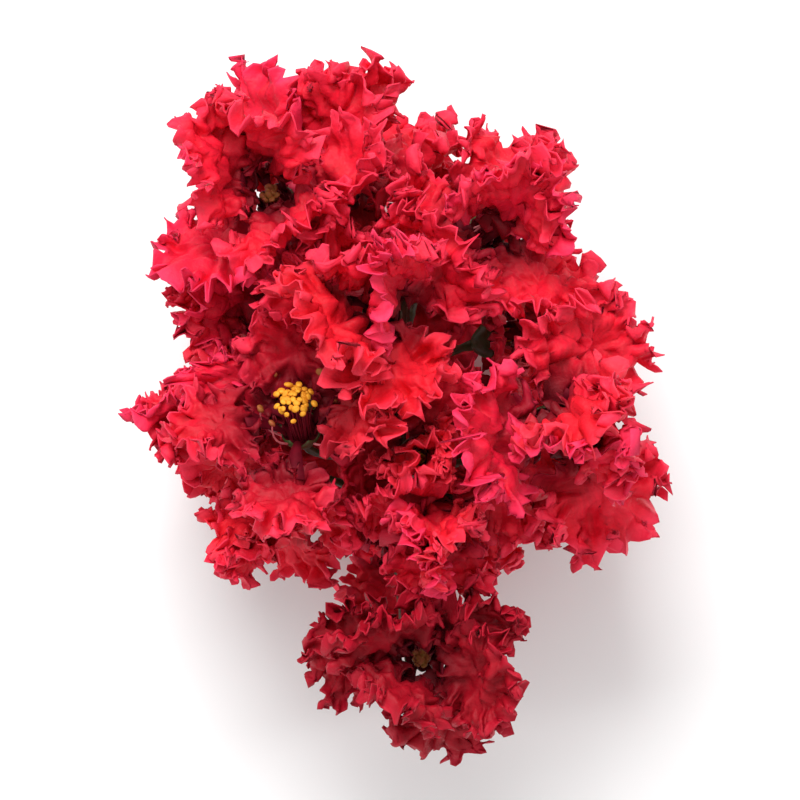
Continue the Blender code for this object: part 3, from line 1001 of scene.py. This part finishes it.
# %% The large form
FOLD_POWER = 1.8
FOLD_SHARE = 0.85  # of the solids' folds; the ruffles make up for the rest
CLOSER = 14  # degrees that the inner petals lean over the stamens of a half-open bloom
LEAN = 0.022  # how much more they arch
SPREAD_OUT = {  # degrees that some inner petals spread instead, over bare stems and gaps
    "bottom 3": 30,
    "bottom 5": 30,
    "top 3": 28,
    "top_left 3": 26,
    "left 5": 26,
    "centre 1": 13,
    "right_low 3": 30,
}
OPEN_CLAW = 2.6  # the fully open bloom shows its lower claws: their length, and the blades' size
OPEN_BLADE = 0.74
OPEN_TURN = 11  # degrees that the petals beside the lowest one turn away from it
OVERLAP = -1.0  # mm that a petal may reach past the bounds of the solids
LOBE_SHARE = 0.4  # of the solids' lobes
TEARS = ((0.07, (13, 14, 15), 3), (0.075, (29, 31, 34), 7))  # depth, lobes, and fading inwards
FINEST_TEAR = (0.03, 47, 9)
SWIRL = 0.10  # radians that the margin is pushed sideways
SAG, SAG_LENGTH = 0.7, 8.0  # mm, a slow relief all over a blade


def blade_sheet(bloom, petal):
    """A blade's points before it is bent into its space, and directions and places on it."""
    label = f"{bloom.name} {petal}"
    rng = random.Random(label)
    azimuth = petal_azimuth(bloom, petal) + math.radians(rng.uniform(-8, 8))
    opening = math.radians((bloom.inner if petal % 2 else bloom.outer) + rng.uniform(-7, 7))
    size = bloom.size * rng.uniform(0.94, 1.06)
    folds, crimps = rng.choice((4, 5)), rng.choice((9, 10, 11))
    fold_turn, crimp_turn, sway, wave = (rng.uniform(0, math.tau) for _ in range(4))
    arch = rng.uniform(-0.03, 0.01) + (bloom.curl if petal % 2 else 0)
    claw = blade = 1
    if bloom.tuft == 1 and petal > 2:
        claw, blade = OPEN_CLAW, OPEN_BLADE
        azimuth += math.radians(OPEN_TURN * (petal - 4))
    if petal % 2 and bloom.tuft < 1:
        spreads = SPREAD_OUT.get(label)
        opening += math.radians(spreads or -CLOSER)
        arch += 0 if spreads else LEAN

    middle, faces = middle_of(bloom)
    across, over = frame_of(faces)
    outward = math.cos(azimuth) * across + math.sin(azimuth) * over
    ahead = math.sin(opening) * outward + math.cos(opening) * faces
    normal = math.sin(opening) * faces - math.cos(opening) * outward
    side = np.cross(normal, ahead)

    fine = random.Random("fine " + label)
    lobes = np.cos(BLADE_SPOKES * ANGLE + wave) + 0.6 * np.cos((BLADE_SPOKES - 1) * ANGLE + sway)
    torn = 0.0
    for depth, counts, fading in TEARS:
        torn = torn + depth * scallop(fine, ANGLE, fine.choice(counts)) * SHARE**fading
    depth, count, fading = FINEST_TEAR
    torn = torn + depth * scallop(fine, ANGLE, count) * SHARE**fading
    edge = 1 + FRINGE * LOBE_SHARE * lobes * SHARE**2 + torn
    radius = size * blade * BLADE_RADIUS * SHARE * edge
    turned = ANGLE + SWIRL * SHARE**2 * np.cos(crimps * ANGLE + crimp_turn)
    run, width = radius * np.cos(turned), radius * np.sin(turned) * BLADE_WIDTH

    drift = 0.5 * rumple(fine, run, width, 9.0)
    phase = folds * ANGLE + fold_turn + 0.8 * np.sin(ANGLE + sway) + drift
    folded = SHARE**FOLD_POWER * np.sin(phase)
    spread = 1 - ((1 - np.cos(ANGLE)) / 2) ** 8
    height = FOLD_SHARE * FOLD_HEIGHT * size * spread * folded
    height = height + SAG * rumple(fine, run, width, SAG_LENGTH)
    height = height + arch * (run + BLADE_RADIUS) ** 2
    reach = size * (CLAW_LENGTH * claw + BLADE_RADIUS * blade)
    start = middle + faces * CLAW_HEIGHT + ahead * reach
    points = start + np.outer(run, ahead) + np.outer(width, side) + np.outer(height, normal)
    return points, (run, width, crimps, crimp_turn), outward, side


def settle_fine(points, bloom, petal):
    """Bends a blade into its bloom's space. Blades may overlap a little, as real ones do."""
    for soft in (1.5, 0.5):
        normals, depth = layer_slope(points, bloom, petal)
        points = press(points, normals, depth, soft, OVERLAP)
        for normal, level in sector_planes(bloom, petal):
            points = press(points, normal[None], points @ normal - level, soft, OVERLAP)
    bars = bars_for(bloom)
    points = crowd(keep_round(points, bars), bloom)
    return stay_inside(keep_round(points, bars), bloom)


# %% The ruffles
RUFFLE_HEIGHT = 1.25
CRIMP_HEIGHT = 1.0
CRISP_HEIGHT = 0.62
CRIMPS, CRISPS, FINE_SLIDES = (19, 21, 23), (35, 38, 41), 37  # waves round a petal
SLIDE, FINE_SLIDE = 0.65, 0.3  # waves sideways, which make the others overhang
RUMPLES = ((4.5, 0.55), (2.8, 0.52), (1.8, 0.32), (1.2, 0.12))  # bump distances and heights


def point_normals(points, faces):
    """A unit normal for each point, from the triangles round it."""
    first, second, third = (points[faces[:, corner]] for corner in range(3))
    facing = np.cross(second - first, third - first)
    normals = np.zeros_like(points)
    for corner in range(3):
        np.add.at(normals, faces[:, corner], facing)
    return normals / np.maximum(np.linalg.norm(normals, axis=1), 1e-9)[:, None]


def ruffle(points, bloom, petal, places):
    """Raises the small waves of a bent blade along its own normals."""
    run, width, crimps, crimp_turn = places
    rng = random.Random(f"ruffle {bloom.name} {petal}")
    normals = point_normals(points, BLADE)
    sideways = units(points[AFTER] - points[BEFORE])
    bend = rumple(rng, run, width, 6.0)
    uneven = 0.75 + 0.35 * np.sin(2 * ANGLE + crimp_turn)
    height = RUFFLE_HEIGHT * SHARE**2.6 * np.sin(crimps * ANGLE + crimp_turn + bend) * uneven
    count = rng.choice(CRIMPS)
    height = height + CRIMP_HEIGHT * SHARE**2.8 * wobble(rng, ANGLE + 0.05 * bend, count)
    height = height + CRISP_HEIGHT * SHARE**4 * wobble(rng, ANGLE, rng.choice(CRISPS), 1.5)
    for length, bump in RUMPLES:
        height = height + bump * rumple(rng, run + 0.5 * bend, width - 0.5 * bend, length)
    slide = SLIDE * SHARE**3 * wobble(rng, ANGLE, count)
    slide = slide + FINE_SLIDE * SHARE**5 * wobble(rng, ANGLE, FINE_SLIDES)
    points = points + bloom.size * (height[:, None] * normals + slide[:, None] * sideways)
    points[:, 2] = np.maximum(points[:, 2], 0.1 - SHIFT[2])
    return points


# %% [markdown]
# A sheet of points has no thickness. A real petal is thinner than paper, but it has two sides
# and an edge, and a closed shell also keeps its faces outwards. So the sheet is doubled: its
# points move out along their own normals to both sides, and a rim joins the two.

# %% Thickness
THICKNESS = 0.22  # mm, at the middle of a blade


def thicken(points, faces, margin, half):
    """A closed shell round a sheet: its points on both sides, and its faces with a rim."""
    offset = point_normals(points, faces) * half[:, None]
    count = len(points)
    after = np.roll(margin, -1)
    rim = [
        np.column_stack([margin, margin + count, after + count]),
        np.column_stack([margin, after + count, after]),
    ]
    return np.concatenate([points + offset, points - offset]), np.concatenate(
        [faces, faces[:, ::-1] + count, *rim]
    )


# %% Claws
CLAW_STEPS = 7
CLAW_ROOT = (2.0, -0.9)  # outward and up from the bloom's middle, inside the cup's rim
CLAW_WIDTHS = (0.35, 1.5)
CLAW_THICKNESS = 0.28
FOOT_POINT = int(np.argmin(np.abs(SHARE - 0.68) + np.abs(ANGLE - math.pi)))


def claw_sheet(bloom, blade, outward, side):
    """A narrow ribbon from the cup to the blade's foot, as rows of three points."""
    middle, faces = middle_of(bloom)
    root = middle + outward * CLAW_ROOT[0] + faces * CLAW_ROOT[1]
    knee = middle + outward * (CLAW_ROOT[0] + 0.3) + faces * CLAW_HEIGHT
    rows = []
    for share in np.linspace(0, 1, CLAW_STEPS):
        half = CLAW_WIDTHS[0] + (CLAW_WIDTHS[1] - CLAW_WIDTHS[0]) * share**2
        centre = along((root, knee, blade[FOOT_POINT]), share)
        rows += [centre - side * half, centre + faces * 0.1, centre + side * half]
    return np.array(rows)


def make_claw_net():
    """Triangles of the ribbon, and its points in order round the edge."""
    triangles = []
    for row in range(0, 3 * (CLAW_STEPS - 1), 3):
        for low in (row, row + 1):
            triangles += [(low, low + 1, low + 4), (low, low + 4, low + 3)]
    right = list(range(2, 3 * CLAW_STEPS, 3))
    left = list(range(3 * (CLAW_STEPS - 1), 0, -3))
    return np.array(triangles), np.array([0, 1, *right, 3 * CLAW_STEPS - 2, *left])


CLAW, CLAW_MARGIN = make_claw_net()


# %% Grow the petals of a bloom
THROAT_SHADE_REACH = 9.0  # mm from the claw over which the painted shade of the throat fades
OPEN_THROAT_SHADE_REACH = 14.0  # the same in the fully open bloom
SHADED_RED, SHADED_BLOOM = 3, "bottom"  # the number of the darker red that paints shade, and the lowest bloom, which takes it


def grow_petals(bloom):
    """Yields the points, triangles, marks and material's number of each sheet of a bloom."""
    for petal in range(PETALS):
        blade, places, outward, side = blade_sheet(bloom, petal)
        blade = settle_fine(blade, bloom, petal)
        blade = ruffle(blade, bloom, petal, places)
        half = THICKNESS / 2 * (1 - 0.25 * SHARE**2)
        shade = random.Random(f"shade {bloom.name} {petal}")
        # the lowest bloom takes the darker red as painted shade; the others take a random red
        tint = SHADED_RED if bloom.name == SHADED_BLOOM else shade.choice((0, 0, 1, 2))
        from_claw = places[0] + BLADE_RADIUS
        direction = np.arctan2(places[1], from_claw) / math.tau + 0.5
        fading = OPEN_THROAT_SHADE_REACH if bloom.tuft == 1 else THROAT_SHADE_REACH
        foot = np.clip(1 - np.hypot(places[1], from_claw) / fading, 0, 1)
        marks = np.column_stack([direction, SHARE, foot])
        yield *thicken(blade, BLADE, MARGIN, half), marks, tint
        claw = claw_sheet(bloom, blade, outward, side)
        half = np.full(len(claw), CLAW_THICKNESS / 2)
        marks = np.tile((0.5, 0.5, 1.0), (len(claw), 1))
        yield *thicken(claw, CLAW, CLAW_MARGIN, half), marks, len(REDS)


def petal_piece(name, blooms):
    """All petals of some blooms, as one mesh with a map of direction and share."""
    points, faces, marks, tints, count = [], [], [], [], 0
    for bloom in blooms:
        for shell, triangles, mark, tint in grow_petals(bloom):
            points.append(shell)
            faces.append(triangles + count)
            marks += [mark, mark]
            tints.append(np.full(len(triangles), tint))
            count += len(shell)
    points, faces, marks, tints = (np.concatenate(part) for part in (points, faces, marks, tints))
    mesh = bpy.data.meshes.new(name)
    mesh.vertices.add(len(points))
    mesh.vertices.foreach_set("co", laid_down(points).ravel())
    mesh.loops.add(faces.size)
    mesh.loops.foreach_set("vertex_index", faces.ravel())
    mesh.polygons.add(len(faces))
    mesh.polygons.foreach_set("loop_start", np.arange(0, faces.size, 3))
    for made_of in (*REDS, maroon):
        mesh.materials.append(made_of)
    mesh.polygons.foreach_set("material_index", tints)
    mesh.update(calc_edges=True)
    mesh.uv_layers.new(name="petal").uv.foreach_set("vector", marks[faces.ravel(), :2].ravel())
    mesh.attributes.new("foot", "FLOAT", "POINT").data.foreach_set("value", marks[:, 2])
    mesh.shade_smooth()
    piece = new_object(name, mesh)
    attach(piece, "root")
    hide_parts(*("corolla_" + bloom.name for bloom in blooms))
    return piece


# %% Grow all petals
PER_PIECE = 4
for start in range(0, len(BLOOMS), PER_PIECE):
    piece = petal_piece(f"petals_{start // PER_PIECE + 1}", BLOOMS[start : start + PER_PIECE])
    print(piece.name, "triangles:", len(piece.data.polygons))

# %% [markdown]
# ## Floor and light
#
# The floor is plain and nearly white. The main light is a large soft one beyond the tip, so the
# upper blooms are bright and the lowest lies in their shade. A pale sky fills the rest.

# %% Stage
start_clean()
bpy.ops.mesh.primitive_plane_add(size=6, location=(0, 0, 0))
floor = bpy.context.object
floor.name = "floor"
paper = bpy.data.materials.new("floor_white")
paper.use_nodes = True
matt = paper.node_tree.nodes["Principled BSDF"]
matt.inputs["Base Color"].default_value = (0.92, 0.92, 0.92, 1)
matt.inputs["Roughness"].default_value = 0.9
floor.data.materials.append(paper)
floor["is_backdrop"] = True

KEY_PLACE = Vector((-0.10, 0.45, 0.60))
KEY_SIZE = 0.35
KEY_WATTS = 5.2
SKY_STRENGTH = 0.82
key_data = bpy.data.lights.new("key", "AREA")
key_data.energy, key_data.size = KEY_WATTS, KEY_SIZE
key = new_object("key", key_data)
key.location = KEY_PLACE
key.rotation_euler = KEY_PLACE.to_track_quat("Z", "Y").to_euler()

sky = bpy.data.worlds.new("sky")
sky.use_nodes = True
glow = sky.node_tree.nodes["Background"]
glow.inputs["Color"].default_value = (1.0, 1.0, 1.0, 1)
glow.inputs["Strength"].default_value = SKY_STRENGTH
bpy.context.scene.world = sky
bpy.context.scene.view_settings.view_transform = "Standard"
print("lights:", key_data.energy, "W")

# %% [markdown]
# ## The sizes of the scene
#
# The boxes of the solids and of the dressed panicle are printed side by side.

# %% Print the sizes
boxes = [[list(map(float, corner)) for corner in box] for box in (cad_bounds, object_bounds())]
print("boxes in m:", boxes)
